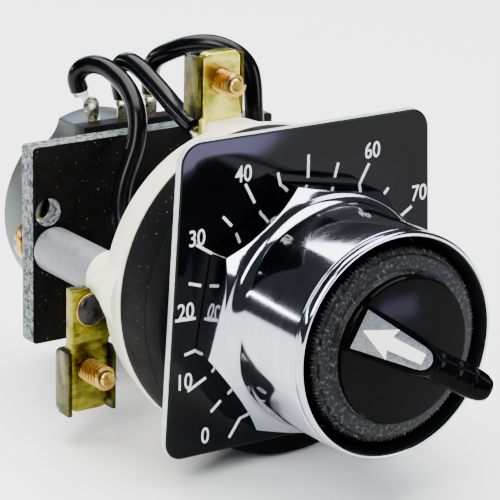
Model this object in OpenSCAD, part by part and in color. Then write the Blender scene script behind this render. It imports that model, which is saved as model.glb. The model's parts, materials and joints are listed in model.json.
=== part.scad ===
// Panel-mounted potentiometer operator: a lever knob inside a guard ring turns a rotary
// potentiometer that stands on two posts behind the panel, with three screw terminals.
// Millimetres. The origin is on the shaft axis in the panel plane, which is the back face of
// the legend plate. -Y points to the person at the panel, +Y into the enclosure, +Z is up.

/* [Legend plate] */
// Height of the legend plate
plate_height = 45.2; // [42:0.1:48]
// Width of the legend plate along its top edge
plate_top_w = 41.4; // [40:0.1:46]
// Width of the legend plate along its bottom edge
plate_bottom_w = 46.4; // [42:0.1:48]
// Thickness of the legend plate
plate_t = 1.5; // [1:0.1:2]
// How far the plate's centre sits above the shaft axis
plate_rise = 3.2; // [0:0.1:4]

/* [Ring nut] */
// Width across the flats of the octagonal nut
nut_af = 34.8; // [34:0.1:37]
// Thickness of the octagonal flange
nut_t = 5.5; // [4:0.5:7]
// Outer radius of the guard collar
collar_r = 16; // [15.8:0.1:16.5]
// How far the collar's rim stands in front of the panel plane
collar_reach = 23.1; // [22:0.1:26]

/* [Knob] */
// Radius of the ribbed skirt
skirt_r = 13.8; // [12:0.1:14.2]
// Radius of the smooth front disc
disc_r = 10.4; // [9:0.1:11]
// How far the disc's face stands in front of the panel plane
disc_reach = 24.9; // [24:0.1:27]
// Height of the lever's high end above the disc
lever_rise = 9.2; // [6:0.1:11]
// Angle of the pointer at rest, clockwise from the top
pointer_deg = -60; // [-150:5:150]
// Diameter of the drive shaft and of the potentiometer's shaft
shaft_d = 6.35; // [6:0.05:6.5]

/* [Operator body] */
// Radius of the threaded barrel that fills the panel hole
barrel_r = 14.8; // [14:0.1:15]
// Radius of the round body behind the panel
body_r = 23; // [21:0.1:24]
// Depth of gasket and body together
body_depth = 10.6; // [9:0.1:12]
// Depth of the panel gasket
gasket_t = 4; // [2:0.5:5]
// Radius of the cream ring at its front edge
cream_r = 23.3; // [23:0.1:25]
// Where the cream ring's rear edge lies
cream_rear = 16.9; // [15:0.1:18]

/* [Posts and rear plate] */
// Distance of each post from the shaft axis
post_x = 17.8; // [16:0.1:19]
// Radius of a post
post_r = 3.4; // [3:0.1:4]
// Front face of the rear plate
rear_y = 37.9; // [36:0.1:42]
// Thickness of the rear plate
rear_t = 3.2; // [2:0.1:3.5]
// Half the width of the rear plate
rear_half_w = 21.2; // [21:0.1:23]
// Top edge of the rear plate
rear_top = 16; // [15:0.1:17]
// Bottom edge of the rear plate
rear_bottom = -14.3; // [-17:0.1:-14]

/* [Potentiometer] */
// Radius of the can
can_r = 15.25; // [14:0.05:16]
// Rear end of the can
can_rear = 57.3; // [56:0.1:60]
// Distance between two neighbouring solder lugs
lug_pitch = 5.08; // [5:0.01:5.1]

/* [Terminals] */
// Width of a terminal strip
strip_w = 6.2; // [6:0.1:7]
// Thickness of a terminal strip
strip_t = 1.7; // [1.2:0.1:2]
// Front face of the terminal strips
strip_y = 20.4; // [20:0.1:21]
// How far the wire clamp of the upper terminal stands open at rest
top_open = 1.2; // [0:0.1:2]
// Distance of the upper clamp screw above the axis
top_screw_z = 27.2; // [26:0.1:28]
// Sideways distance of the two lower clamp screws from the axis
low_screw_x = 21.7; // [21:0.1:22]
// Distance of the two lower clamp screws below the axis
low_screw_z = 12.8; // [12:0.1:14]

/* [Leads] */
// Diameter of a lead over its insulation
lead_d = 2.9; // [2:0.1:3]

/* [Hidden] */
$fn = 96;

gap = 0.05;              // radial running clearance of a shaft in its bearing
shaft_r = shaft_d / 2;
plate_y = -plate_t;      // front face of the legend plate
seat_gap = 0.05;         // air between two faces that press on each other but move apart
nut_y = plate_y - nut_t; // front face of the octagonal flange
octagon_turn = 12.5;     // direction of one corner of the nut
barrel_front = -10.5;    // front end of the threaded barrel
seal_y = -8.8;           // floor of the seal's pocket
knob_back = -12.2;       // rear edge of the knob's skirt
skirt_y = -21.9;         // front edge of the skirt
ring_screw_r = 16.7;     // pitch radius of the three screws of the mounting ring
lever_slope = 0.46;      // rise of the lever's crest over its run
lever_foot = 9.9;        // distance of the crest's low end from the axis
lever_tip = 9.8;         // distance of the high end from the axis, on the other side
clip_y = body_depth + 0.9; // groove of the shaft's retaining clip
coupling_y = [14.5, 31]; // ends of the shaft coupling
post_z = 0.2;            // height of the two posts
ear_z = 0.4;             // height of the two ears that carry them
ear_r = 3.7;
ear_y = 22.6;            // rear face of the ears
screw_r = 1.75;          // number six machine screw
screw_head_r = 3.43;
pot_bush_r = 4.76;       // 3/8 inch potentiometer bushing
pot_y = 41.9;            // front face of the potentiometer's moulding
base_r = 14.1;
board_half_w = 8.6;      // terminal board of the potentiometer
board_top = 16;
board_y = 47;            // its rear face
lug_y = 47.3;
can_wall = 0.6;
track_y = 50;            // face of the resistance track
low_screw = [low_screw_x, -low_screw_z];
top_screw = [0.4, top_screw_z];
low_rivet = [13.8, -6.4];
top_rivet = [0.4, 14.5];
stud = [21.8, -3.5];
joggle = 0.5;            // set-back of the clamp end of a terminal strip
clamp_y = strip_y + joggle + strip_t + 0.1;
clamp_t = 1;             // sheet of a wire clamp
clamp_half_w = 3.95;
clamp_ear = 0.6;         // thickness of its two ears
screw_tip = 15.6;        // front end of a clamp screw when its clamp is closed
head_seat = clamp_y + clamp_t + seat_gap;

// Routes of the three leads, from the solder lug to the tag on its terminal
ROUTE_LEFT = [[-6.1, 50, 20.3], [-6.6, 50, 22.2], [-6.2, 49.3, 23.7], [-5.2, 47.8, 24.6],
              [-4.4, 45.5, 24.6], [-4, 43, 23.9], [-3.8, 40.5, 22.8], [-4.1, 38, 21.4],
              [-4.6, 36, 19.8], [-5.2, 34.7, 17.6], [-6.1, 33.9, 15.1], [-7.5, 33.2, 12.7],
              [-9, 32.4, 10.3], [-10.3, 31.2, 7.9], [-11.2, 29.6, 5.6], [-11.6, 27.6, 3.2],
              [-11.6, 25.6, 1], [-11.8, 24.2, -1.8]];
ROUTE_CENTRE = [[0, 47.4, 19], [-0.5, 47.4, 21], [-1.1, 46.9, 23], [-1.3, 45.6, 24.7],
                [-1.1, 43.6, 25.4], [-0.8, 41.2, 24.9], [-0.6, 38.6, 23.8], [-0.5, 35.8, 22.6],
                [-0.6, 33, 21.5], [-1, 30, 20.7], [-1.4, 27.4, 20.2], [-1.6, 24.8, 19.6]];
ROUTE_RIGHT = [[5.1, 47.4, 19], [5, 47.4, 21], [4.5, 46.4, 23.2], [4.3, 44.6, 25.1],
               [5.1, 42.2, 26.6], [6.5, 39.8, 27.8], [8.3, 37.5, 28.4], [10.2, 35.4, 28.1],
               [11.9, 33.5, 26.9], [12.7, 32, 25.1], [12.7, 31, 22.9], [12.4, 30.2, 20.2],
               [12.2, 29.4, 16.5], [12, 28.5, 12], [11.9, 27.5, 7], [11.8, 25.9, 2.5],
               [11.8, 24.2, -1.8]];
LEAD_SIDES = 8;

// Where the centre of a corner's rounding lies
function inset_corner(r, before, corner, after) =
    let (a = unit(before - corner), b = unit(after - corner), half = acos(a * b) / 2)
    corner + unit(a + b) * r / sin(half);
function unit(v) = v / norm(v);

// ---- helpers ---------------------------------------------------------------------------
// A flat outline drawn as seen from the front, filled from y0 back to y1
module slab(y0, y1) translate([0, y1, 0]) rotate([90, 0, 0]) linear_extrude(y1 - y0) children();

module disc(y0, y1, r) slab(y0, y1) circle(r);

module tube(y0, y1, r, bore) slab(y0, y1) difference() { circle(r); circle(bore); }

// A frustum from radius r0 at y0 to radius r1 at y1
module cone(y0, y1, r0, r1) translate([0, y0, 0]) rotate([-90, 0, 0]) cylinder(y1 - y0, r0, r1);

module rounded_rect(x0, x1, z0, z1, r) {
    translate([x0 + r, z0]) square([x1 - x0 - 2 * r, z1 - z0]);
    translate([x0, z0 + r]) square([x1 - x0, z1 - z0 - 2 * r]);
    for (x = [x0 + r, x1 - r], z = [z0 + r, z1 - r]) translate([x, z]) circle(r);
}

// A convex outline, given anticlockwise, with its corners rounded to radius r
module rounded_corners(r, outline) {
    n = len(outline);
    inner = [for (i = [0 : n - 1]) inset_corner(r, outline[(i + n - 1) % n], outline[i],
                                                 outline[(i + 1) % n])];
    polygon([for (i = [0 : n - 1], side = [-1, 1])
        let (a = inner[i], b = inner[(i + n + side) % n], d = unit(b - a))
        a + r * side * [d[1], -d[0]]]);
    for (c = inner) translate(c) circle(r);
}

// The same thing once on the left and once on the right
module both_sides() { children(); mirror([1, 0, 0]) children(); }

// A pan head with a straight slot: its seat at y0, its top at y1
module slotted_head(y0, y1, r) difference() {
    disc(min(y0, y1), max(y0, y1), r);
    translate([-r - 1, y1 > y0 ? y1 - 0.8 : y1 - 1, -0.4]) cube([2 * r + 2, 1.8, 0.8]);
}

// ---- swept tube of a lead ----------------------------------------------------------------
function smooth(p, i, u) =
    let (a = p[max(i - 1, 0)], b = p[i], c = p[i + 1], d = p[min(i + 2, len(p) - 1)])
    0.5 * (2 * b + (c - a) * u + (2 * a - 5 * b + 4 * c - d) * u * u
           + (3 * b - a - 3 * c + d) * u * u * u);
function centres(p) =
    [for (i = [0 : len(p) - 2], u = i < len(p) - 2 ? [0] : [0, 1]) smooth(p, i, u)];
function tangent(c, i) = unit(c[min(i + 1, len(c) - 1)] - c[max(i - 1, 0)]);
module lead(route, across) {
    c = centres(route);
    n = len(c);
    points = [for (i = [0 : n - 1])
        let (t = tangent(c, i), a = unit(cross(t, across)), b = cross(t, a))
        for (k = [0 : LEAD_SIDES - 1])
            c[i] + lead_d / 2 * (cos(360 * k / LEAD_SIDES) * a + sin(360 * k / LEAD_SIDES) * b)];
    sides = [for (i = [0 : n - 2], k = [0 : LEAD_SIDES - 1])
        let (m = (k + 1) % LEAD_SIDES, q = i * LEAD_SIDES)
        [q + k, q + m, q + LEAD_SIDES + m, q + LEAD_SIDES + k]];
    first = [for (k = [LEAD_SIDES - 1 : -1 : 0]) k];
    last = [for (k = [0 : LEAD_SIDES - 1]) (n - 1) * LEAD_SIDES + k];
    polyhedron(points, concat(sides, [first, last]));
}

// ---- front of the panel --------------------------------------------------------------------
module legend_plate() color("#161618") {
    top = plate_rise + plate_height / 2;
    bottom = plate_rise - plate_height / 2;
    slab(plate_y, 0) difference() {
        rounded_corners(3, [[-plate_bottom_w / 2, bottom], [plate_bottom_w / 2, bottom],
                            [plate_top_w / 2, top], [-plate_top_w / 2, top]]);
        circle(barrel_r + 0.3);
    }
}

module ring_nut() color("#c9cdd2") {
    flare = 2.2;
    difference() {
        union() {
            intersection() {
                slab(nut_y, plate_y - seat_gap) rotate(octagon_turn) circle(nut_af / 2 / cos(22.5), $fn = 8);
                union() {
                    cone(nut_y, nut_y + 2.4, nut_af / 2, nut_af / 2 + 2.2);
                    disc(nut_y + 2.4, plate_y, nut_af / 2 + 2.2);
                }
            }
            cone(nut_y - flare, nut_y, collar_r, nut_af / 2 - 0.2);
            disc(-collar_reach + 1.6, nut_y - flare, collar_r);
            disc(-collar_reach + 1.2, -collar_reach + 1.6, collar_r - 0.25);
            disc(-collar_reach, -collar_reach + 1.2, collar_r);
        }
        disc(-collar_reach - 1, 0, barrel_r + 0.1);
        disc(-collar_reach - 1, barrel_front - 0.5, collar_r - 0.7);
    }
}

// ---- knob, drawn pointing straight up ----------------------------------------------------
module aim_pointer() rotate([0, pointer_deg, 0]) children();

// Plan of the lever: wide at the pointer end, narrow behind it, with round ends
module lever_plan() {
    polygon([[-3.4, lever_foot], [3.4, lever_foot], [2.4, 0], [2.4, 2.4 - lever_tip],
             [-2.4, 2.4 - lever_tip], [-2.4, 0]]);
    translate([0, 2.4 - lever_tip]) circle(2.4);
}

// Everything under the sloping crest, lowered by drop
module under_crest(drop) rotate([90, 0, 90]) translate([0, 0, -5]) linear_extrude(10) polygon([
    [-disc_reach + 1.5, -lever_tip - 1], [-disc_reach + 1.5, lever_foot + 1],
    [-disc_reach - 0.3 + drop, lever_foot + 1], [-disc_reach - 0.3 + drop, lever_foot],
    [-disc_reach - 0.3 - lever_slope * (lever_foot + 7.6) + drop, -7.6],
    [-disc_reach - lever_rise + drop, 1.2 - lever_tip],
    [-disc_reach - lever_rise + 1.4 + drop, -lever_tip - 1]]);

// Plan of the sloping inlay
module insert_plan() {
    polygon([[-2.8, 9.5], [2.8, 9.5], [1.6, 0.9], [-1.6, 0.9]]);
    translate([0, 1]) circle(1.55);
}

// Plan of the arrow on the inlay
module arrow_plan() polygon([[0, 9], [2.2, 4.9], [0.95, 5.3], [0.75, 0.6], [-0.75, 0.6],
                             [-0.95, 5.3], [-2.2, 4.9]]);

module knob() color("#17171a") aim_pointer() difference() {
    union() {
        disc(skirt_y, knob_back, skirt_r);
        cone(-disc_reach + 0.5, skirt_y, disc_r + 0.5, disc_r + 1.6);
        disc(-disc_reach, -disc_reach + 0.6, disc_r);
        intersection() {
            slab(-disc_reach - lever_rise - 1, -disc_reach + 1) lever_plan();
            under_crest(0);
        }
    }
    intersection() {
        slab(-disc_reach - lever_rise - 1, -disc_reach + 1) insert_plan();
        difference() {
            slab(-disc_reach - lever_rise - 1, -disc_reach + 1) square(40, center = true);
            under_crest(0.7);
        }
    }
    tube(knob_back - 7, knob_back + 1, 11.6, 6.6);
    disc(-21, knob_back + 1, shaft_r);
    translate([0, -15.5, 0]) cylinder(20, 1.5, 1.5);
}

module knob_insert() color("#aeb3b8") aim_pointer() difference() {
    intersection() {
        slab(-disc_reach - lever_rise - 1, -disc_reach + 1) insert_plan();
        under_crest(0);
    }
    under_crest(0.7);
    intersection() {
        slab(-disc_reach - lever_rise - 1, -disc_reach + 1) arrow_plan();
        difference() {
            slab(-disc_reach - lever_rise - 1, -disc_reach + 1) square(40, center = true);
            under_crest(0.25);
        }
    }
}

module knob_arrow() color("#f4f4f2") aim_pointer() difference() {
    intersection() {
        slab(-disc_reach - lever_rise - 1, -disc_reach + 1) arrow_plan();
        under_crest(0);
    }
    under_crest(0.25);
}

module knob_set_screw() color("#2a2a2c") aim_pointer()
    translate([0, -15.5, shaft_r - 0.2]) cylinder(3.4, 1.5, 1.5);

// ---- shaft and body ------------------------------------------------------------------------
module drive_shaft() color("#b9bcc0") difference() {
    disc(-21, 22.3, shaft_r);
    tube(clip_y, clip_y + 0.9, shaft_r + 1, shaft_r - 0.5);
    aim_pointer() translate([-5, -18, shaft_r - 0.2]) cube([10, 5, 5]);
}

module shaft_clip() color("#3a3a3c") slab(clip_y + 0.1, clip_y + 0.8) difference() {
    circle(5.2);
    circle(shaft_r - 0.45);
    translate([-2, -8]) square([4, 6]);
}

module shaft_coupling() color("#d8d4c4") difference() {
    disc(coupling_y[0], coupling_y[1], 6.2);
    disc(coupling_y[0] - 1, coupling_y[1] + 1, shaft_r + 0.02);
    for (y = [18, 27.5]) translate([0, y, 0]) cylinder(10, 1.5, 1.5);
}

module coupling_screws() color("#2a2a2c")
    for (y = [18, 27.5]) translate([0, y, shaft_r + 0.05]) cylinder(2.9, 1.5, 1.5);

module shaft_bushing() color("#b08d57") {
    tube(seal_y, body_depth, 4.8, shaft_r + gap);
    tube(body_depth, body_depth + 0.6, 6, shaft_r + gap);
}

module shaft_seal() color("#202020") tube(barrel_front + 0.2, seal_y, 5.8, shaft_r + gap);

module seal_retainer() color("#a8abb0") tube(barrel_front - 0.5, barrel_front, 7.4, shaft_r + 0.5);

module operator_body() color("#1d1d1f") difference() {
    union() {
        disc(barrel_front, gasket_t, barrel_r);
        disc(gasket_t, body_depth, body_r);
    }
    disc(barrel_front - 1, body_depth + 1, 4.8);
    disc(barrel_front - 1, seal_y, 5.8);
    // lightening pocket behind the seal wall
    tube(-6, body_depth + 1, 12.8, 8);
    for (a = [45, 135, 270]) rotate([0, -a, 0]) translate([ring_screw_r, 0, 0])
        disc(gasket_t + 1, body_depth + 1, 1.4);
}

module panel_gasket() color("#141414") tube(seat_gap, gasket_t, body_r, barrel_r);

// ---- moulded ring, posts and rear plate ----------------------------------------------------
// Ears under the posts and pads under the terminals
module ring_pads() {
    both_sides() translate([post_x, 0, ear_z]) {
        disc(body_depth, ear_y - 2, ear_r + 0.3);
        cone(ear_y - 2, ear_y, ear_r + 0.3, ear_r - 0.1);
    }
    slab(body_depth, strip_y) {
        rounded_rect(-2.9, 3.7, 9.5, 22.5, 0.8);
        for (s = [-1, 1]) translate([s * low_rivet[0], low_rivet[1]]) circle(3.6);
    }
}

module mounting_ring() color("#f0f0e1") difference() {
    union() {
        cone(body_depth, cream_rear, cream_r, cream_r - 1.6);
        ring_pads();
    }
    // hollow of the ring behind its web
    difference() {
        disc(13, cream_rear + 1, 19.6);
        ring_pads();
        for (a = [45, 135, 270]) rotate([0, -a, 0]) translate([ring_screw_r, 0, 0])
            disc(body_depth, 14, 3.4);
    }
    disc(body_depth - 1, cream_rear + 1, 7);
    both_sides() translate([post_x, 0, post_z]) disc(13, ear_y + 1, screw_r);
    // room for the heads of the stop studs
    both_sides() translate([stud[0], 0, stud[1]]) disc(strip_y - 1.5, ear_y + 1, 2.75);
    translate([top_rivet[0], 0, top_rivet[1]]) disc(body_depth - 1, strip_y + 1, 1.25);
    both_sides() translate([low_rivet[0], 0, low_rivet[1]])
        disc(body_depth - 1, strip_y + 1, 1.25);
    for (a = [45, 135, 270]) rotate([0, -a, 0]) translate([ring_screw_r, 0, 0])
        disc(body_depth - 1, cream_rear + 1, 1.5);
}

module mounting_ring_screws() color("#8f9296")
    for (a = [45, 135, 270]) rotate([0, -a, 0]) translate([ring_screw_r, 0, 0]) {
        disc(gasket_t + 1.5, 14, 1.35);
        slotted_head(14, 15.6, 2.6);
    }

module post() translate([post_x, 0, post_z]) difference() {
    disc(ear_y, rear_y, post_r);
    disc(ear_y - 1, rear_y + 1, screw_r);
}

module post_left() color("#b4b6bd") mirror([1, 0, 0]) post();

module post_right() color("#b4b6bd") post();

module post_screws() color("#d4b54a") both_sides() translate([post_x, 0, post_z]) {
    disc(rear_y - 7, rear_y + rear_t + 0.6, screw_r - 0.02);
    slotted_head(rear_y + rear_t + 0.6, rear_y + rear_t + 2.6, screw_head_r);
}

module post_lock_washers() color("#c8ab45") both_sides() translate([post_x, 0, post_z])
    tube(rear_y + rear_t, rear_y + rear_t + 0.6, 3.2, screw_r + 0.1);

module rear_plate() color("#1a1b1d") slab(rear_y, rear_y + rear_t) difference() {
    rounded_rect(-rear_half_w, rear_half_w, rear_bottom, rear_top, 0.6);
    circle(pot_bush_r + 0.1);
    for (s = [-1, 1]) {
        translate([s * post_x, post_z]) circle(screw_r + 0.15);
        translate([s * 18.6, 5.9]) circle(2.1);
    }
    translate([0, -11.9]) square([3.4, 1.4], center = true);
}

// ---- potentiometer ---------------------------------------------------------------------------
module pot_bushing() color("#c9b46a") difference() {
    disc(34, rear_y + rear_t, pot_bush_r);
    disc(33, rear_y + rear_t + 1, shaft_r + gap);
}

module pot_nut() color("#c8ccd0") difference() {
    slab(35, rear_y - 0.6) circle(12.7 / 2 / cos(30), $fn = 6);
    disc(34, rear_y, pot_bush_r);
}

module pot_lock_washer() color("#b5b8bc") slab(rear_y - 0.6, rear_y) difference() {
    circle(6.8);
    circle(pot_bush_r + 0.1);
    for (k = [0 : 11]) rotate(30 * k) translate([6.4, 0]) square([1.4, 0.9], center = true);
}

module pot_front_plate() color("#b9bdb8") {
    tube(rear_y + rear_t, pot_y, 13, shaft_r + 0.4);
    slab(rear_y + 0.4, rear_y + rear_t) translate([0, -11.9]) square([3, 1], center = true);
}

module pot_base() color("#191612") difference() {
    union() {
        disc(pot_y, board_y, base_r);
        disc(board_y, track_y - 0.2, 12.3);
        slab(board_y - 2.8, board_y) translate([-board_half_w, 9])
            square([2 * board_half_w, board_top - 9]);
    }
    disc(pot_y - 1, track_y, shaft_r + 0.4);
    for (i = [-1 : 1]) translate([i * lug_pitch - 1.1, board_y, 8]) cube([2.2, 0.6, 10]);
}

module can_outline(r, groove_r) difference() {
    circle(r);
    for (a = [55, 125]) rotate(a) translate([can_r + 3.05, 0]) circle(groove_r);
}

module pot_can() color("#8f9792") difference() {
    slab(board_y, can_rear) can_outline(can_r, 5);
    slab(board_y - 1, can_rear - can_wall) can_outline(can_r - can_wall, 5 + can_wall);
    // window for the terminal board
    slab(board_y - 1, board_y + 1.2) translate([-board_half_w, 9]) square([2 * board_half_w, 9]);
}

module resistance_track() color("#26211c") slab(49.8, track_y) difference() {
    circle(11);
    circle(8);
    polygon([[0, 0], [6.2, -14], [-6.2, -14]]);
}

module collector_ring() color("#c2a65a") tube(49.8, track_y, 5.6, 4.2);

module pot_shaft() color("#b9bcc0") disc(22.8, 55.5, shaft_r);

module wiper_carrier() color("#2c2620") aim_pointer() difference() {
    union() {
        disc(51.6, 53.6, 7.5);
        slab(51.6, 53.6) translate([-2.6, 0]) square([5.2, 11]);
    }
    disc(51, 54, shaft_r);
}

module wiper_brushes() color("#3d3d40") aim_pointer() slab(track_y + 0.12, 51.6) {
    translate([0, 9.5]) square([2, 1.6], center = true);
    translate([0, 4.9]) square([1.4, 1], center = true);
}

// One solder lug, leaning by tilt degrees to the left, with its eye at the top
module solder_lug(x, tilt) translate([x, 0, 0]) {
    slab(lug_y - 0.2, lug_y + 0.2) translate([-1, 10]) square([2, board_top - 10.1]);
    translate([0, 0, board_top - 0.1]) rotate([0, -tilt, 0])
        slab(lug_y - 0.2, lug_y + 0.2) difference() {
            union() {
                translate([-1, 0]) square([2, 2.6]);
                translate([0, 2.6]) circle(1.3);
            }
            translate([0, 2.6]) circle(0.65);
        }
}

module lug_left() color("#d8cf9a") solder_lug(-lug_pitch, 12);

module lug_centre() color("#cdbf55") solder_lug(0, 0);

module lug_right() color("#dcdcd4") solder_lug(lug_pitch, 0);

// ---- screw terminals ------------------------------------------------------------------------
// One strip with its clamp screw at the origin and its free end upwards; free and foot are its
// lengths above and below the screw. The clamp end is set back by the joggle.
module strip_blank(free, foot) {
    intersection() {
        rotate([90, 0, 90]) translate([0, 0, -strip_w / 2]) linear_extrude(strip_w) polygon([
            [strip_y, -foot], [strip_y, -4.6], [strip_y + joggle, -3.2],
            [strip_y + joggle, free], [strip_y + joggle + strip_t, free],
            [strip_y + joggle + strip_t, -3.2 - 0.2], [strip_y + strip_t, -4.8],
            [strip_y + strip_t, -foot]]);
        slab(strip_y - 1, strip_y + 4)
            rounded_rect(-strip_w / 2, strip_w / 2, -foot - 3, free, 1.2);
    }
}

module strip_bore() disc(strip_y - 1, strip_y + 4, screw_r + gap);

module terminal_strip_top() color("#cfc04a") difference() {
    translate([top_screw[0], 0, top_screw[1]]) difference() {
        strip_blank(4.3, top_screw[1] - 11);
        strip_bore();
    }
    translate([top_rivet[0], 0, top_rivet[1]]) disc(strip_y - 1, strip_y + 4, 1.25);
}

module low_strip() difference() {
    union() {
        translate([low_screw[0], 0, low_screw[1]]) rotate([0, 180, 0]) difference() {
            strip_blank(6.1, 12.5);
            strip_bore();
        }
        slab(strip_y, strip_y + strip_t) {
            translate([low_rivet[0], low_rivet[1] - 1.8]) square([6, 3.6]);
            translate(low_rivet) circle(2.4);
        }
    }
    // clearance round the post and its ear
    translate([post_x, 0, ear_z]) disc(strip_y - 1, strip_y + 4, ear_r + 0.5);
    translate([low_rivet[0], 0, low_rivet[1]]) disc(strip_y - 1, strip_y + 4, 1.25);
    translate([stud[0], 0, stud[1]]) disc(strip_y - 1, strip_y + 4, 1.2);
}

module terminal_strip_left() color("#a89a22") mirror([1, 0, 0]) low_strip();

module terminal_strip_right() color("#a89a22") low_strip();

module rivet(p) translate([p[0], 0, p[1]]) {
    disc(body_depth + 0.1, strip_y + strip_t + 0.6, 1.22);
    disc(strip_y + strip_t + 0.6, strip_y + strip_t + 1.4, 2.1);
}

module strip_rivets() color("#c9b964") {
    rivet(top_rivet);
    rivet(low_rivet);
    rivet([-low_rivet[0], low_rivet[1]]);
}

module stop_studs() color("#1c1a1c") both_sides() translate([stud[0], 0, stud[1]]) {
    disc(strip_y - 1.2, strip_y - 0.3, 2.05);
    disc(strip_y - 0.3, strip_y, 2.5);
    disc(strip_y, strip_y + strip_t, 1.2);
    disc(strip_y + strip_t, strip_y + strip_t + 0.5, 1.4);
}

// Tag under a rivet with a barrel for its lead, drawn with the barrel above the rivet
module tag(p, turn) translate([p[0], 0, p[1]]) rotate([0, turn, 0]) {
    slab(strip_y + strip_t, strip_y + strip_t + 0.6) difference() {
        union() {
            circle(2.3);
            translate([-1.2, 0]) square([2.4, 4.6]);
        }
        circle(1.25);
    }
    translate([0, strip_y + strip_t + 0.2 + 1.1, 3.2]) difference() {
        cylinder(2.6, 1.3, 1.3);
        translate([0, 0, -1]) cylinder(5, 0.8, 0.8);
    }
}

module lead_tags() color("#cfc25a") {
    tag([-low_rivet[0], low_rivet[1]], 22);
    tag(low_rivet, -22);
    tag(top_rivet, -24);
}

// A wire clamp that reaches from low to high past its screw, with an ear down each side
module wire_clamp(low, high) {
    difference() {
        slab(clamp_y, clamp_y + clamp_t)
            rounded_rect(-clamp_half_w, clamp_half_w, -low, high, 0.8);
        disc(clamp_y - 1, clamp_y + 3, screw_r + 0.15);
    }
    both_sides() translate([clamp_half_w - clamp_ear, clamp_y - 2.7, -low])
        cube([clamp_ear, 2.9, low + high]);
}

module clamp_screw() {
    disc(screw_tip + 0.4, head_seat, screw_r);
    cone(screw_tip, screw_tip + 0.4, screw_r - 0.4, screw_r);
    slotted_head(head_seat, head_seat + 2, 3.1);
}

module at_top() translate([top_screw[0], top_open, top_screw[1]]) children();

module at_low() translate([low_screw[0], 0, low_screw[1]]) rotate([0, 180, 0]) children();

module wire_clamp_top() color("#8f9a3c") at_top() wire_clamp(5.4, 3.8);

module wire_clamp_left() color("#7f8a35") mirror([1, 0, 0]) at_low() wire_clamp(3.2, 6.4);

module wire_clamp_right() color("#7f8a35") at_low() wire_clamp(3.2, 6.4);

module clamp_screw_top() color("#d9b98a") at_top() clamp_screw();

module clamp_screw_left() color("#cfae62") mirror([1, 0, 0]) at_low() clamp_screw();

module clamp_screw_right() color("#cfae62") at_low() clamp_screw();

// ---- leads ---------------------------------------------------------------------------------
module lead_left() color("#0c0c0d") lead(ROUTE_LEFT, [1, 0.2, 0.2]);

module lead_centre() color("#0c0c0d") lead(ROUTE_CENTRE, [1, 0, 0]);

module lead_right() color("#0c0c0d") lead(ROUTE_RIGHT, [0.7, 0.7, 0]);

legend_plate();
ring_nut();
knob();
knob_insert();
knob_arrow();
knob_set_screw();
drive_shaft();
shaft_clip();
shaft_coupling();
coupling_screws();
shaft_bushing();
shaft_seal();
seal_retainer();
operator_body();
panel_gasket();
mounting_ring();
mounting_ring_screws();
post_left();
post_right();
post_screws();
post_lock_washers();
rear_plate();
pot_bushing();
pot_nut();
pot_lock_washer();
pot_front_plate();
pot_base();
pot_can();
resistance_track();
collector_ring();
pot_shaft();
wiper_carrier();
wiper_brushes();
lug_left();
lug_centre();
lug_right();
terminal_strip_top();
terminal_strip_left();
terminal_strip_right();
strip_rivets();
stop_studs();
lead_tags();
wire_clamp_top();
wire_clamp_left();
wire_clamp_right();
clamp_screw_top();
clamp_screw_left();
clamp_screw_right();
lead_left();
lead_centre();
lead_right();
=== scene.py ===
"""Visual model of a panel potentiometer operator: lever knob, chromed ring nut, dial plate,
moulded body, rear plate with the potentiometer, three leads and three screw terminals."""
import json
import math

import bpy
from mathutils import Matrix, Vector


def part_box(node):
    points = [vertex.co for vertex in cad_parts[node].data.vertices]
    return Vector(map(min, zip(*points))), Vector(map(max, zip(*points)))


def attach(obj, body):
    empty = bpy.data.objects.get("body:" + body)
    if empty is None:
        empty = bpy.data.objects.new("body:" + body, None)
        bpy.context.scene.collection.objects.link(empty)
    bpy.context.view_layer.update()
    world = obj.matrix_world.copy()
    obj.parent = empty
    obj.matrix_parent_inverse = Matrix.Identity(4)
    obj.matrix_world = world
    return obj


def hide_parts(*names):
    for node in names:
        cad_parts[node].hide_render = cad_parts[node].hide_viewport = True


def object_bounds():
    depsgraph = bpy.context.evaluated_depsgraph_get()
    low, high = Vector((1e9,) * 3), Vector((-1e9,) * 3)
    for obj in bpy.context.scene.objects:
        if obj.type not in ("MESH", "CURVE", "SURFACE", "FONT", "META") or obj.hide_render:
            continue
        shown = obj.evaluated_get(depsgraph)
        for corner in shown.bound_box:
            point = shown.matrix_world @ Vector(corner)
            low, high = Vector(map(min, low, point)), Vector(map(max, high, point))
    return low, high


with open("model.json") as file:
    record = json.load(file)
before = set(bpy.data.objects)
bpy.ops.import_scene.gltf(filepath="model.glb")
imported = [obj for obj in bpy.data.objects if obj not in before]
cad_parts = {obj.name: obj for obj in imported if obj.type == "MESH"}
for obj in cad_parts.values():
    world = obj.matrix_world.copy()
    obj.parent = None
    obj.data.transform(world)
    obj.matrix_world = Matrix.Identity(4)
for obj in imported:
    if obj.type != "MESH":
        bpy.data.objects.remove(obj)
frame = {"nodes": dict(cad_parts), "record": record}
nodes = frame["nodes"]
cad_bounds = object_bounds()
MM = 0.001

# ---- camera ---------------------------------------------------------------------------------
camera_data = bpy.data.cameras.new("camera")
camera_data.lens = 198.2
camera_data.sensor_width = 36
camera_data.clip_start = 0.01
camera = bpy.data.objects.new("camera", camera_data)
bpy.context.scene.collection.objects.link(camera)
camera.location = (-0.2140, -0.2990, 0.1227)
AIM = Vector((-0.00861, -0.00023, 0.00885))
ROLL = math.radians(1.2)
level = (AIM - camera.location).to_track_quat("-Z", "Y").to_matrix()
camera.rotation_euler = (level @ Matrix.Rotation(ROLL, 3, "Z")).to_euler()
bpy.context.scene.camera = camera


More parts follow.
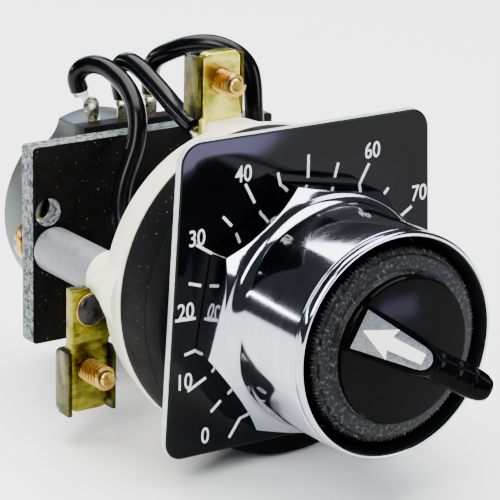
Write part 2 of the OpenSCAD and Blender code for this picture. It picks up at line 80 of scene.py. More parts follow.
# ---- finishes -------------------------------------------------------------------------------
def colour(code):
    """Linear colour of an sRGB hex code such as C8B040."""
    parts = [int(code[i:i + 2], 16) / 255 for i in (0, 2, 4)]
    linear = [c / 12.92 if c <= 0.04045 else ((c + 0.055) / 1.055) ** 2.4 for c in parts]
    return (*linear, 1.0)


def add(tree, kind, inputs=None, **settings):
    """Adds one node. A socket among the inputs is linked and any other value is set."""
    made = tree.nodes.new(kind)
    for name, value in settings.items():
        setattr(made, name, value)
    for name, value in (inputs or {}).items():
        if isinstance(value, bpy.types.NodeSocket):
            tree.links.new(value, made.inputs[name])
        else:
            made.inputs[name].default_value = value
    return made


def per_metre(size_mm):
    """Noise scale for features of that size."""
    return 1000 / size_mm


# Real handling dust is too fine to show, so its specks are drawn coarser
DUST_MM = 0.34
DUST_GREY = "77787A"


def finish(name, shades, rough, mottle_mm, grain_mm, grain_depth_mm, stretch=(1, 1, 1), dust=0,
           **shader):
    """A surface whose colour drifts between the shades over mottle_mm, with a roughness range
    that drifts with it and a fine grain. stretch multiplies the pattern's pace along X, Y, Z.
    dust above 0 scatters pale specks of handling dust, thicker as it grows."""
    made = bpy.data.materials.new(name)
    made.use_nodes = True
    tree = made.node_tree
    tree.nodes.clear()
    place = add(tree, "ShaderNodeTexCoord")
    paced = add(tree, "ShaderNodeMapping", {"Vector": place.outputs["Object"], "Scale": stretch})
    mottle = add(tree, "ShaderNodeTexNoise",
                 {"Vector": paced.outputs["Vector"], "Scale": per_metre(mottle_mm), "Detail": 5,
                  "Roughness": 0.6})
    ramp = add(tree, "ShaderNodeValToRGB", {"Fac": mottle.outputs["Fac"]})
    stops = ramp.color_ramp.elements
    while len(stops) < len(shades):
        stops.new(0.5)
    for i, shade in enumerate(shades):
        stops[i].position = 0.32 + 0.36 * i / max(len(shades) - 1, 1)
        stops[i].color = colour(shade)
    polish = add(tree, "ShaderNodeMapRange",
                 {"Value": mottle.outputs["Fac"], "From Min": 0.3, "From Max": 0.7,
                  "To Min": rough[0], "To Max": rough[1]})
    grain = add(tree, "ShaderNodeTexNoise",
                {"Vector": paced.outputs["Vector"], "Scale": per_metre(grain_mm), "Detail": 3})
    bump = add(tree, "ShaderNodeBump",
               {"Height": grain.outputs["Fac"], "Distance": grain_depth_mm * MM, "Strength": 1.0})
    shade = ramp.outputs["Color"]
    if dust:
        speck = add(tree, "ShaderNodeTexNoise",
                    {"Vector": place.outputs["Object"], "Scale": per_metre(DUST_MM), "Detail": 2})
        fallen = add(tree, "ShaderNodeMapRange",
                     {"Value": speck.outputs["Fac"], "From Min": 0.74 - dust,
                      "From Max": 0.8 - dust})
        dusted = add(tree, "ShaderNodeMix", {"Factor": fallen.outputs["Result"], 6: shade,
                                             7: colour(DUST_GREY)}, data_type="RGBA")
        shade = dusted.outputs[2]
    sockets = {"Base Color": shade, "Roughness": polish.outputs["Result"],
               "Normal": bump.outputs["Normal"]}
    sockets.update(shader)
    body = add(tree, "ShaderNodeBsdfPrincipled", sockets)
    add(tree, "ShaderNodeOutputMaterial", {"Surface": body.outputs["BSDF"]})
    return made


# Bright decorative chromium on turned brass: a hard mirror with the faint waves of the lathe
chrome = finish("bright_chromium", ["9AA0AC", "B6BCC8"], (0.05, 0.12), 9, 1.2, 0.0006,
                (0.4, 3, 0.4), Metallic=1.0)
# Stoved black enamel on sheet steel: deep black gloss with a little orange peel
enamel = finish("stoved_black_enamel", ["030304", "060608"], (0.05, 0.11), 12, 0.9, 0.0008,
                **{"Specular IOR Level": 0.08})
# Screen-printed scale: flat off-white ink
ink = finish("screen_ink_white", ["D9DADC", "EDEDEC"], (0.45, 0.6), 3, 0.12, 0.0008)
# Black phenolic of the knob's disc and lever, buffed to a gloss
knob_gloss = finish("buffed_black_phenolic", ["020202", "050506"], (0.08, 0.16), 7, 0.6, 0.0007,
                    **{"Specular IOR Level": 0.025})
# Sprayed silver lacquer on the lever's inlay, with visible flake
inlay_silver = finish("sprayed_silver_lacquer", ["52585E", "7A8086"], (0.34, 0.5), 0.35, 0.1,
                      0.0015, Metallic=0.6)
# Filled and wiped white paint of the arrow
arrow_paint = finish("filled_white_paint", ["EDEDEA", "FAFAF7"], (0.35, 0.5), 2, 0.2, 0.001)
# Ground and polished steel of the shafts, with the wheel's rings round the axis
ground_steel = finish("ground_steel", ["A9ADB0", "C8CBCE"], (0.18, 0.3), 1.2, 0.1, 0.001,
                      (0.3, 4, 0.3), Metallic=1.0)
# Blackened hardened steel: set screws, clip and stud heads
black_oxide = finish("black_oxide_steel", ["050405", "121014"], (0.2, 0.4), 1.1, 0.15, 0.002,
                     Metallic=0.5)
# Bright zinc plate on steel hardware
bright_zinc = finish("bright_zinc_plate", ["A7ABAE", "C9CCCE"], (0.22, 0.4), 1.6, 0.2, 0.002,
                     Metallic=1.0)
# Sintered bronze of the shaft bushing, with open pores
bronze = finish("sintered_bronze", ["8A5F2C", "A97F45"], (0.4, 0.6), 0.8, 0.18, 0.006,
                Metallic=1.0)
# Nitrile rubber of the seal and gasket: dull black with mould bloom
rubber = finish("moulded_nitrile_rubber", ["030303", "060607"], (0.5, 0.7), 3, 0.3, 0.003,
                **{"Specular IOR Level": 0.03})
# Black glass-filled nylon of the body: satin with faint fibre marks
body_nylon = finish("moulded_black_nylon", ["030303", "060608"], (0.42, 0.6), 4, 0.35, 0.002,
                    dust=0.03, **{"Specular IOR Level": 0.03})
# Cream urea moulding: slightly translucent, faint flow marks
cream = finish("moulded_cream_urea", ["E2E0C2", "F2F0D8"], (0.3, 0.46), 6, 0.5, 0.002,
               **{"Subsurface Weight": 0.12, "Subsurface Radius": (0.9 * MM, 0.8 * MM, 0.6 * MM),
                  "Subsurface Scale": 1.0})
# Grey acetal of the posts: an even satin
acetal = finish("moulded_grey_acetal", ["5E6166", "707378"], (0.36, 0.5), 1.1, 0.3, 0.003)
# Yellow chromate over zinc on pressed steel: gold that drifts to olive, rose and straw
chromate = finish("yellow_chromate_zinc", ["8E860E", "CCC232", "EAE260", "B89028"],
                  (0.2, 0.34), 5.5, 0.12, 0.0022, (0.6, 1, 1.6), Metallic=0.97)
# The same chromate on the lower strips, with painted shade: darker olive and brown
chromate_painted_shade = finish("chromate_zinc_painted_shade", ["3A3A0A", "6C681A", "8E8832", "5C3E0E"],
                          (0.2, 0.36), 3.6, 0.12, 0.0022, (0.6, 1, 1.6), Metallic=0.97)
# The same chromate drawn far darker, near black with olive and brown, on the wire clamps
olive_chromate = finish("olive_chromate_zinc", ["060603", "26260A", "4E4A14", "1C1406"],
                        (0.2, 0.36), 4.4, 0.12, 0.0022, Metallic=0.95)
# Straw chromate of the screws
straw_chromate = finish("straw_chromate_zinc", ["86601C", "C8A04A", "A87E30"], (0.2, 0.34), 2.6,
                        0.12, 0.0014, Metallic=0.97)
# Roots of the cut threads: a painted shade, dark and brown, for the shade down in the grooves
painted_shade_thread_root = finish("thread_root_painted_shade", ["120A03", "2E1C08"], (0.35, 0.5), 0.6, 0.12, 0.002,
                     Metallic=0.7)
# Nickel on brass: rivets and the potentiometer's bushing
nickel_brass = finish("nickelled_brass", ["B5A468", "D3C698"], (0.22, 0.36), 2, 0.2, 0.0015,
                      Metallic=1.0)
# Drawn steel can, zinc plated and dulled: fine rings from the drawing die
drawn_can = finish("drawn_dull_zinc", ["28302E", "3E4744"], (0.32, 0.5), 1.4, 0.16, 0.003,
                   (0.25, 5, 0.25), Metallic=0.5)
# Dark moulded phenolic of the terminal board
phenolic = finish("moulded_brown_phenolic", ["060504", "100C09"], (0.4, 0.6), 1.5, 0.2, 0.004,
                  **{"Specular IOR Level": 0.1})
# Hot-tinned brass of the lugs
tinned = finish("hot_tinned_brass", ["6E6428", "DEDBC8", "C2B24A"], (0.2, 0.4), 0.8, 0.2, 0.003,
                Metallic=1.0)
# Carbon ink and brushes
carbon = finish("screened_carbon", ["0C0C0C", "1E1D1C"], (0.5, 0.7), 0.8, 0.15, 0.002)
# Varnished black sleeving of the leads: wet gloss over a faint weave
sleeving = finish("varnished_black_sleeving", ["020203", "060608"], (0.14, 0.28), 4, 0.5, 0.005,
                  **{"Specular IOR Level": 0.12})
# Pale inner layer of the leads, seen only at their cut ends
inner_sleeving = finish("pale_cotton_inner_sleeve", ["D8CE7A", "F0EAB4"], (0.6, 0.8), 0.6, 0.15,
                        0.01)


def laminate():
    """Black paper laminate: smooth faces, and sawn edges that show pale torn plies."""
    made = finish("sawn_paper_laminate", ["030303", "060607"], (0.36, 0.55), 2.2, 0.3, 0.003,
                  dust=0.03, **{"Specular IOR Level": 0.08})
    tree = made.node_tree
    body = next(n for n in tree.nodes if n.type == "BSDF_PRINCIPLED")
    face_colour = body.inputs["Base Color"].links[0].from_socket
    place = add(tree, "ShaderNodeTexCoord")
    facing = add(tree, "ShaderNodeSeparateXYZ", {"Vector": place.outputs["Normal"]})
    side = add(tree, "ShaderNodeMath", {0: facing.outputs["Y"]}, operation="ABSOLUTE")
    sawn = add(tree, "ShaderNodeMapRange",
               {"Value": side.outputs["Value"], "From Min": 0.6, "From Max": 0.4})
    speck = add(tree, "ShaderNodeTexNoise",
                {"Vector": place.outputs["Object"], "Scale": per_metre(0.8), "Detail": 6,
                 "Roughness": 0.85})
    torn = add(tree, "ShaderNodeMapRange",
               {"Value": speck.outputs["Fac"], "From Min": 0.44, "From Max": 0.58})
    amount = add(tree, "ShaderNodeMath",
                 {0: torn.outputs["Result"], 1: sawn.outputs["Result"]}, operation="MULTIPLY")
    mixed = add(tree, "ShaderNodeMix", {"Factor": amount.outputs["Value"], 6: face_colour,
                                        7: colour("8A9496")}, data_type="RGBA")
    tree.links.new(mixed.outputs[2], body.inputs["Base Color"])
    return made


paper_laminate = laminate()

# Cut edge of the dial plate: bare sheet aluminium, finely drawn by the shear
sheared_edge = finish("sheared_sheet_aluminium", ["98A0A0", "CED4D3"], (0.3, 0.45), 1.2, 0.15,
                      0.002, (1, 6, 1), Metallic=0.15)
# Inside of the collar: a painted shade, nearly black, for the unlit depth inside the collar
painted_shade_bore = finish("collar_bore_painted_shade", ["0C0C0E", "1A1A1D"], (0.3, 0.5), 3, 0.2, 0.002,
                     Metallic=0.3)
# Ribbed rim and ring of the knob: the phenolic as moulded, with a coarse sparkling grain
knob_grain = finish("moulded_phenolic_grain", ["020202", "040405", "16161A", "46464E"],
                    (0.3, 0.6), 0.5, 0.3, 0.05, **{"Specular IOR Level": 0.12})

FINISH_OF = {
    chrome: ["ring_nut"],
    enamel: ["legend_plate"],
    knob_gloss: ["knob"],
    inlay_silver: ["knob_insert"],
    arrow_paint: ["knob_arrow"],
    black_oxide: ["knob_set_screw", "shaft_clip", "coupling_screws", "stop_studs"],
    ground_steel: ["drive_shaft", "pot_shaft"],
    bright_zinc: ["shaft_coupling", "seal_retainer", "mounting_ring_screws", "pot_nut",
                  "pot_lock_washer", "pot_front_plate"],
    bronze: ["shaft_bushing"],
    rubber: ["shaft_seal", "panel_gasket"],
    body_nylon: ["operator_body"],
    cream: ["mounting_ring"],
    acetal: ["post_left", "post_right"],
    chromate: ["terminal_strip_top"],
    # The lower strips take the chromate with painted shade
    chromate_painted_shade: ["terminal_strip_left", "terminal_strip_right"],
    olive_chromate: ["wire_clamp_top", "wire_clamp_left", "wire_clamp_right"],
    straw_chromate: ["post_screws", "post_lock_washers", "clamp_screw_top", "clamp_screw_left",
                     "clamp_screw_right"],
    paper_laminate: ["rear_plate"],
    nickel_brass: ["pot_bushing", "collector_ring", "strip_rivets"],
    phenolic: ["pot_base", "wiper_carrier"],
    drawn_can: ["pot_can"],
    carbon: ["resistance_track", "wiper_brushes"],
    tinned: ["lug_left", "lug_centre", "lug_right", "lead_tags"],
    sleeving: ["lead_left", "lead_centre", "lead_right"],
}
for material, names in FINISH_OF.items():
    for name in names:
        nodes[name].data.materials.clear()
        nodes[name].data.materials.append(material)


# ---- workshop -------------------------------------------------------------------------------
# Sizes are in millimetres and become metres as a piece is drawn. The shaft runs along Y.
record = frame["record"]
BODY_OF = {n: body for body, names in record["behaviour"]["bodies"].items() for n in names}


def span(name):
    """Lowest and highest corner of a CAD node, in millimetres."""
    low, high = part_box(name)
    return low / MM, high / MM


def take(piece):
    """Makes the piece the only one chosen."""
    bpy.ops.object.select_all(action="DESELECT")
    piece.select_set(True)
    bpy.context.view_layer.objects.active = piece


def edit(piece, picked=None):
    """Opens the piece with all of it chosen, or where picked(corner in millimetres) holds."""
    take(piece)
    bpy.ops.object.mode_set(mode="EDIT")
    bpy.ops.mesh.select_mode(type="VERT")
    bpy.ops.mesh.select_all(action="DESELECT" if picked else "SELECT")
    if picked:
        bpy.ops.object.mode_set(mode="OBJECT")
        for corner in piece.data.vertices:
            corner.select = picked(corner.co / MM)
        bpy.ops.object.mode_set(mode="EDIT")


def close_edit():
    bpy.ops.object.mode_set(mode="OBJECT")


def drawn(name, points):
    """A chain of edges through the points, left open for editing."""
    bpy.ops.object.select_all(action="DESELECT")
    bpy.ops.mesh.primitive_plane_add(size=MM)
    piece = bpy.context.object
    piece.name = piece.data.name = name
    edit(piece)
    bpy.ops.mesh.merge(type="CENTER")
    last = Vector((0, 0, 0))
    for i, point in enumerate(points):
        step = (Vector(point) - last) * MM
        if i:
            bpy.ops.mesh.extrude_region_move(TRANSFORM_OT_translate={"value": step})
        else:
            bpy.ops.transform.translate(value=step)
        last = Vector(point)
    bpy.ops.mesh.select_all(action="SELECT")
    return piece


def soften(piece, width, angle=32, segments=3):
    """Rounds every edge sharper than the angle, then smooths the shading between them."""
    take(piece)
    if width:
        bevel = piece.modifiers.new("soft_edges", "BEVEL")
        bevel.width = width * MM
        bevel.segments = segments
        bevel.angle_limit = math.radians(angle)
        bpy.ops.object.modifier_apply(modifier=bevel.name)
    bpy.ops.object.shade_smooth_by_angle(angle=math.radians(angle))
    return piece


def seal(piece, width=0, angle=32):
    """Merges doubled corners, turns the faces outwards and rounds the edges."""
    bpy.ops.mesh.select_all(action="SELECT")
    bpy.ops.mesh.remove_doubles(threshold=0.0005 * MM)
    bpy.ops.mesh.normals_make_consistent(inside=False)
    close_edit()
    return soften(piece, width, angle)


def turned(name, profile, centre=(0, 0), steps=96, width=0.15):
    """Turned round the line along Y through centre. profile is (radius, y) from end to end."""
    x, z = centre
    piece = drawn(name, [(x + r, y, z) for r, y in profile])
    bpy.ops.mesh.spin(steps=steps, angle=math.tau, center=(x * MM, 0, z * MM), axis=(0, 1, 0))
    return seal(piece, width)


def pressed(name, outline, along, width=0.15):
    """A flat outline pushed out along a vector."""
    piece = drawn(name, outline)
    bpy.ops.mesh.edge_face_add()
    bpy.ops.mesh.extrude_region_move(TRANSFORM_OT_translate={"value": Vector(along) * MM})
    return seal(piece, width)


def carve(piece, tool, operation="DIFFERENCE"):
    """Cuts the piece with the tool, or joins or crosses them, and removes the tool."""
    take(piece)
    made = piece.modifiers.new("carve", "BOOLEAN")
    made.operation = operation
    made.object = tool
    bpy.ops.object.modifier_apply(modifier=made.name)
    bpy.data.objects.remove(tool)
    return piece


def joined(name, pieces):
    take(pieces[0])
    for piece in pieces:
        piece.select_set(True)
    bpy.ops.object.join()
    pieces[0].name = pieces[0].data.name = name
    return pieces[0]


def copied(piece, place):
    """A copy of the piece with its own mesh, moved by a matrix."""
    made = bpy.data.objects.new(piece.name, piece.data.copy())
    bpy.context.scene.collection.objects.link(made)
    made.data.transform(place)
    if place.determinant() < 0:
        made.data.flip_normals()
    return made


def refined(name, width, angle=32):
    """A copy of a CAD node with its triangles merged and its edges rounded."""
    piece = bpy.data.objects.new(name + "_finished", nodes[name].data.copy())
    bpy.context.scene.collection.objects.link(piece)
    edit(piece)
    bpy.ops.mesh.remove_doubles(threshold=0.001 * MM)
    bpy.ops.mesh.dissolve_limited(angle_limit=math.radians(0.5))
    close_edit()
    return soften(piece, width, angle, 2)


def fit(piece, name):
    """Lets the piece stand for a CAD node, on its body. A bare piece takes the node's finish."""
    if not piece.data.materials:
        piece.data.materials.append(nodes[name].data.materials[0])
    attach(piece, BODY_OF[name])
    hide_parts(name)


def place_of(face):
    """Middle of a face in millimetres, as its distance from the shaft's axis and its y."""
    middle = face.center / MM
    return math.hypot(middle.x, middle.z), middle.y


def coat(piece, first, second, covered):
    """Gives the whole piece one finish, and the faces for which covered(face) holds another."""
    piece.data.materials.append(first)
    piece.data.materials.append(second)
    for face in piece.data.polygons:
        if covered(face):
            face.material_index = 1


def arc(centre, radius, start, stop, count):
    """Points of an arc in a plane, its angles in degrees anticlockwise."""
    angles = [math.radians(start + (stop - start) * i / count) for i in range(count + 1)]
    return [(centre[0] + radius * math.cos(a), centre[1] + radius * math.sin(a)) for a in angles]


def smooth_line(points, count=6):
    """A smooth line through the points, with count steps between neighbours."""
    p = [Vector(points[0])] + [Vector(q) for q in points] + [Vector(points[-1])]
    line = []
    for a, b, c, d in zip(p, p[1:], p[2:], p[3:]):
        for i in range(count):
            u = i / count
            line.append(0.5 * (2 * b + (c - a) * u + (2 * a - 5 * b + 4 * c - d) * u * u
                               + (3 * b - a - 3 * c + d) * u ** 3))
    return line + [p[-1]]


def tube(name, line, radius, sides=5):
    """A round tube with closed ends along a line."""
    curve = bpy.data.curves.new(name, "CURVE")
    curve.dimensions = "3D"
    curve.bevel_depth = radius * MM
    curve.bevel_resolution = sides
    curve.use_fill_caps = True
    spline = curve.splines.new("POLY")
    spline.points.add(len(line) - 1)
    for point, place in zip(spline.points, line):
        point.co = (*(Vector(place) * MM), 1)
    piece = bpy.data.objects.new(name, curve)
    bpy.context.scene.collection.objects.link(piece)
    take(piece)
    bpy.ops.object.convert(target="MESH")
    piece = bpy.context.object
    edit(piece)
    return seal(piece, 0, 40)


# ---- dial plate -----------------------------------------------------------------------------
plate_low, plate_high = span("legend_plate")
plate_y = plate_low.y
PLATE_TOP = 41.4
PLATE_CORNER = 3
PLATE_HOLE = 15.1
corners = [(plate_low.x, plate_low.z), (plate_high.x, plate_low.z),
           (PLATE_TOP / 2, plate_high.z), (-PLATE_TOP / 2, plate_high.z)]
plate = drawn("dial_plate", [(x, plate_y, z) for x, z in corners])
bpy.ops.mesh.edge_face_add()
bpy.ops.mesh.bevel(offset=PLATE_CORNER * MM, segments=9, affect="VERTICES")
bpy.ops.mesh.select_all(action="SELECT")
bpy.ops.mesh.extrude_region_move(TRANSFORM_OT_translate={"value": (0, -plate_y * MM, 0)})
seal(plate)
carve(plate, turned("plate_hole", [(0, -9), (PLATE_HOLE, -9), (PLATE_HOLE, 9), (0, 9)], width=0))
soften(plate, 0.28, 40, 4)
coat(plate, enamel, sheared_edge, lambda face: face.normal.y > -0.35)
fit(plate, "legend_plate")

# Printed scale: a mark at every 5 from 0 to 100, and a number by each long one but 50
MARK_Y = plate_y - 0.03
MARK_STEP = math.radians(14.5)
MARK_FOOT, LONG_MARK, SHORT_MARK = 18.3, 21.6, 20.4
HALF_STROKE = 0.2
marks = []
for step in range(-10, 11):
    high = SHORT_MARK if step % 2 else LONG_MARK
    mark = pressed("mark", [(-HALF_STROKE, MARK_Y, MARK_FOOT), (HALF_STROKE, MARK_Y, MARK_FOOT),
                            (HALF_STROKE, MARK_Y, high), (-HALF_STROKE, MARK_Y, high)],
                   (0, 0.05, 0), 0)
    mark.data.transform(Matrix.Rotation(MARK_STEP * step, 4, "Y"))
    marks.append(mark)
# Distance of each number from the axis, and its place clockwise from the top
DIGIT_HEIGHT = 3.3
DIGIT_WIDTH = 0.84
NUMBERS = {"0": (23.4, -135.5), "10": (21.6, -112), "20": (20, -84), "30": (22, -56),
           "40": (23, -28), "60": (23.4, 28), "70": (23.6, 56), "80": (20.4, 84),
           "90": (21.6, 112), "100": (23.4, 135.5)}
for digits, (reach, clockwise) in NUMBERS.items():
    bpy.ops.object.select_all(action="DESELECT")
    bpy.ops.object.text_add()
    number = bpy.context.object
    number.data.body = digits
    number.data.align_x = "CENTER"
    number.data.align_y = "CENTER"
    number.data.size = DIGIT_HEIGHT * MM
    number.data.offset = 0.012 * MM
    number.data.extrude = 0.02 * MM
    number.data.resolution_u = 6
    bpy.ops.object.convert(target="MESH")
    number = bpy.context.object
    angle = math.radians(clockwise)
    place = Vector((reach * math.sin(angle), MARK_Y + 0.01, reach * math.cos(angle))) * MM
    number.data.transform(Matrix.Translation(place) @ Matrix.Rotation(math.pi / 2, 4, "X")
                          @ Matrix.Diagonal((DIGIT_WIDTH, 1, 1, 1)))
    edit(number)
    seal(number)
    marks.append(number)
scale = joined("dial_scale", marks)
scale.data.materials.clear()
scale.data.materials.append(ink)
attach(scale, "legend_plate")

# ---- ring nut -------------------------------------------------------------------------------
nut_low, nut_high = span("ring_nut")
rim_y = nut_low.y
COLLAR = 16
COLLAR_BORE = 15.2
BORE = 14.9
FLANGE = -7
ACROSS_CORNERS = 34.8 / math.cos(math.pi / 8)
FINE = 192
flare = [(COLLAR + 1.15 * (1 - math.cos(a)), FLANGE - 2.4 + 2.4 * math.sin(a))
         for a in map(math.radians, range(0, 91, 15))]
collar = turned("collar", [
    (COLLAR_BORE, rim_y + 0.35), (15.45, rim_y), (15.75, rim_y), (COLLAR, rim_y + 0.35),
    (COLLAR, rim_y + 1.25), (15.72, rim_y + 1.4), (15.72, rim_y + 1.62), (COLLAR, rim_y + 1.8)]
    + flare + [(BORE, FLANGE + 0.5), (BORE, -11), (COLLAR_BORE, -11), (COLLAR_BORE, rim_y + 0.35)],
    steps=FINE, width=0.09)
octagon = [(x, FLANGE, z) for x, z in arc((0, 0), ACROSS_CORNERS / 2, 12.5, 327.5, 7)]
flange = pressed("flange", octagon, (0, nut_high.y - FLANGE, 0), 0)
chamfer = turned("flange_chamfer", [(0, FLANGE - 1), (15.9, FLANGE - 1), (17.2, FLANGE - 0.02),
                                    (19.4, FLANGE + 2.6), (19.4, 1), (0, 1)], steps=FINE, width=0)
carve(flange, chamfer, "INTERSECT")
bore = turned("flange_bore", [(0, -12), (BORE, -12), (BORE, 2), (0, 2)], steps=FINE, width=0)
carve(flange, bore)
soften(flange, 0.16, 20, 3)
nut = joined("ring_nut_finished", [flange, collar])


def in_collar(face):
    """True for the faces of the collar's bore."""
    reach, y = place_of(face)
    return rim_y + 0.3 < y < -10.8 and reach < COLLAR_BORE + 0.05


# The collar's bore takes the painted shade
coat(nut, chrome, painted_shade_bore, in_collar)
fit(nut, "ring_nut")

# ---- knob -----------------------------------------------------------------------------------
knob_low, knob_high = span("knob")
DISC_Y = -24.9
SKIRT = 13.8
RIBS = 150
POINTER = math.radians(-60)
skirt = turned("knob_skirt", [
    (0, DISC_Y), (9.9, DISC_Y), (10.25, DISC_Y + 0.1), (10.4, DISC_Y + 0.35), (10.45, DISC_Y + 1.1),
    (10.9, DISC_Y + 1.7), (12.5, DISC_Y + 1.9), (12.75, DISC_Y + 1.95), (12.9, DISC_Y + 2.35),
    (13.05, DISC_Y + 2.5), (13.6, DISC_Y + 2.6), (SKIRT, DISC_Y + 2.85), (SKIRT, knob_high.y - 0.3),
    (SKIRT - 0.3, knob_high.y), (0, knob_high.y)], steps=2 * RIBS, width=0)


def in_groove(corner):
    """True for every second column of corners on the ribbed rim."""
    column = round(math.atan2(corner.z, corner.x) / math.pi * RIBS)
    return column % 2 == 1 and Vector((corner.x, corner.z)).length > 13.4


edit(skirt, in_groove)
bpy.ops.transform.resize(value=(0.968, 1, 0.968), center_override=(0, 0, 0))
close_edit()
soften(skirt, 0, 24)


# The lever is made pointing up and then turned. Its crest rises from the foot to the grip.
LEVER_FOOT = 9.9
FOOT_Y = -25.2
SLOPE = 0.46
NOTCHES = (-1.8, -4.3, -6.7)


def crest_y(z):
    """How far out the sloping crest is at a place along the lever."""
    return FOOT_Y - SLOPE * (LEVER_FOOT - z)


# The lever is bridged over sections from its square foot to the round grip. Each line is the place
# along it, half its width, how far its top stands off the slope, its corner radius and the depth
# of a notch in its upper side.
SECTIONS = [(9.95, 3.36, 0.04, 0.12, 0), (9.88, 3.4, 0, 0.12, 0), (6, 3.13, 0, 0.14, 0),
            (3, 2.83, 0, 0.16, 0), (1.4, 2.6, 0, 0.2, 0), (0.4, 2.4, 0, 0.5, 0),
            (-0.6, 2.25, 0, 1.1, 0)]
for notch in NOTCHES:
    SECTIONS += [(notch + 0.34, 2.2, 0, 1.9, 0), (notch + 0.12, 2.2, 0, 1.9, 0.3),
                 (notch - 0.12, 2.2, 0, 1.9, 0.3), (notch - 0.34, 2.2, 0, 1.9, 0)]
SECTIONS += [(-7.8, 2.15, 0, 1.95, 0), (-8.6, 2, 0.03, 1.85, 0), (-9.15, 1.75, 0.3, 1.6, 0),
             (-9.5, 1.4, 0.8, 1.25, 0), (-9.72, 0.9, 1.6, 0.8, 0)]


def lever_section(place, half, drop, radius, notch):
    """Outline of one section, up one side of the lever, over its crest and down the other."""
    top = max(crest_y(place), knob_low.y + 0.05) + drop
    over = [(half - radius + x, top + radius - y) for x, y in arc((0, 0), radius, 0, 90, 8)]
    cut = [(x - notch, y + 0.6 * notch) for x, y in over]
    outline = [(half, DISC_Y + 1.5)] + cut + [(-x, y) for x, y in reversed(over)]
    return [(x, y, place) for x, y in outline + [(-half, DISC_Y + 1.5)]]


rings = []
for section in SECTIONS:
    rings.append(drawn("section", lever_section(*section)))
    bpy.ops.mesh.edge_face_add()
    close_edit()
lever = joined("lever", rings)
edit(lever)
bpy.ops.mesh.bridge_edge_loops()
bpy.ops.mesh.select_all(action="SELECT")
bpy.ops.mesh.fill_holes(sides=0)
seal(lever, 0, 34)
lever.data.transform(Matrix.Rotation(POINTER, 4, "Y"))
knob = joined("knob_finished", [skirt, lever])


def in_grain(face):
    """True for the faces of the ring and the ribbed rim round the smooth disc."""
    reach, y = place_of(face)
    return reach > 10.5 and y > DISC_Y + 1.2


coat(knob, knob_gloss, knob_grain, in_grain)
fit(knob, "knob")
for name, lift in (("knob_insert", 0.03), ("knob_arrow", 0.06)):
    inlay = refined(name, 0.03)
    inlay.data.transform(Matrix.Translation((0, -lift * MM, 0)))
    fit(inlay, name)

# ---- body behind the panel ------------------------------------------------------------------
body_high = span("operator_body")[1]
BODY = 23
BARREL = 14.8
gasket = turned("gasket_finished", [
    (BARREL, 0.05), (BODY - 0.4, 0.05), (BODY - 0.05, 0.45), (BODY, 3.9), (BODY - 0.06, 3.97),
    (BARREL, 3.97), (BARREL, 0.05)], steps=160)
fit(gasket, "panel_gasket")
body_shell = turned("body_finished", [
    (0.01, -10.5), (BARREL - 0.6, -10.5), (BARREL, -9.9), (BARREL, 4), (BODY - 0.06, 4),
    (BODY, 4.06), (BODY, body_high.y - 0.2), (BODY - 0.2, body_high.y), (3.3, body_high.y),
    (3.3, -10.4), (0.01, -10.4), (0.01, -10.5)], steps=160, width=0.1)
fit(body_shell, "operator_body")

# Cream ring: a shallow cup with two flared ears for the posts and a pad under each terminal
ring_low, ring_high = span("mounting_ring")
POST = (17.8, 0.2)
EAR = (17.8, 0.4)
PAD = (13.8, -6.4)
PAD_FRONT = ring_low.y + 0.5
RING_BACK = 16.9
ring = turned("cream_ring", [
    (7, ring_low.y), (23, ring_low.y), (23.3, ring_low.y + 0.35), (22, RING_BACK - 0.6),
    (21.5, RING_BACK), (19.9, RING_BACK), (19.5, RING_BACK - 0.4), (19.3, 13.2), (18.9, 13),
    (7, 13), (7, ring_low.y)], steps=FINE, width=0)
blocks = []
for side in (-1, 1):
    blocks.append(turned("ear", [
        (0, PAD_FRONT), (6.4, PAD_FRONT), (5.9, 14.6), (5, 16.9), (4.3, 18.6), (3.9, 20.4),
        (3.7, ring_high.y - 0.35), (3.4, ring_high.y), (0, ring_high.y)],
        (side * EAR[0], EAR[1]), 64, 0))
    blocks.append(turned("pad", [
        (0, PAD_FRONT), (3.9, PAD_FRONT), (3.6, 16), (3.6, 20.1), (3.3, 20.4), (0, 20.4)],
        (side * PAD[0], PAD[1]), 48, 0))
top_pad = [(-5.4, 9.5), (6.2, 9.5), (6.2, 20.4), (5.2, 21.8), (-4.4, 21.8), (-5.4, 20.4)]
block = pressed("top_pad", [(x, PAD_FRONT, z) for x, z in top_pad], (0, 20.35 - PAD_FRONT, 0), 0)
edit(block, lambda corner: corner.y > 18)
bpy.ops.transform.resize(value=(0.62, 1, 1), center_override=(0.4 * MM, 0, 0))
close_edit()
soften(block, 1.2, 20, 4)
blocks.append(block)
for block in blocks:
    carve(ring, block, "UNION")
soften(ring, 0.35, 38)
fit(ring, "mounting_ring")

MIRRORED = Matrix.Scale(-1, 4, (1, 0, 0))
post = turned("post_finished_left", [
    (1.8, 22.62), (3.15, 22.62), (3.4, 22.87), (3.4, 37.65), (3.15, 37.88), (1.8, 37.88),
    (1.8, 22.62)], (-POST[0], POST[1]), 64)
other = copied(post, MIRRORED)
other.name = "post_finished_right"
fit(post, "post_left")
fit(other, "post_right")

# ---- rear plate, potentiometer and pressed parts --------------------------------------------
# The widths to which the edges of each are rounded
fit(refined("pot_can", 0.9, 50), "pot_can")
EDGES = {"rear_plate": 0.16, "pot_base": 0.2, "pot_front_plate": 0.12, "pot_nut": 0.12,
         "pot_lock_washer": 0.12, "shaft_coupling": 0.12, "pot_bushing": 0.1, "pot_shaft": 0.3,
         "coupling_screws": 0.1, "terminal_strip_top": 0.22, "wire_clamp_top": 0.26,
         "terminal_strip_left": 0.22, "wire_clamp_left": 0.26, "terminal_strip_right": 0.22,
         "wire_clamp_right": 0.26, "strip_rivets": 0.3, "lead_tags": 0.12,
         "mounting_ring_screws": 0.25, "post_screws": 0.35, "post_lock_washers": 0.1}
for name, width in EDGES.items():
    fit(refined(name, width), name)


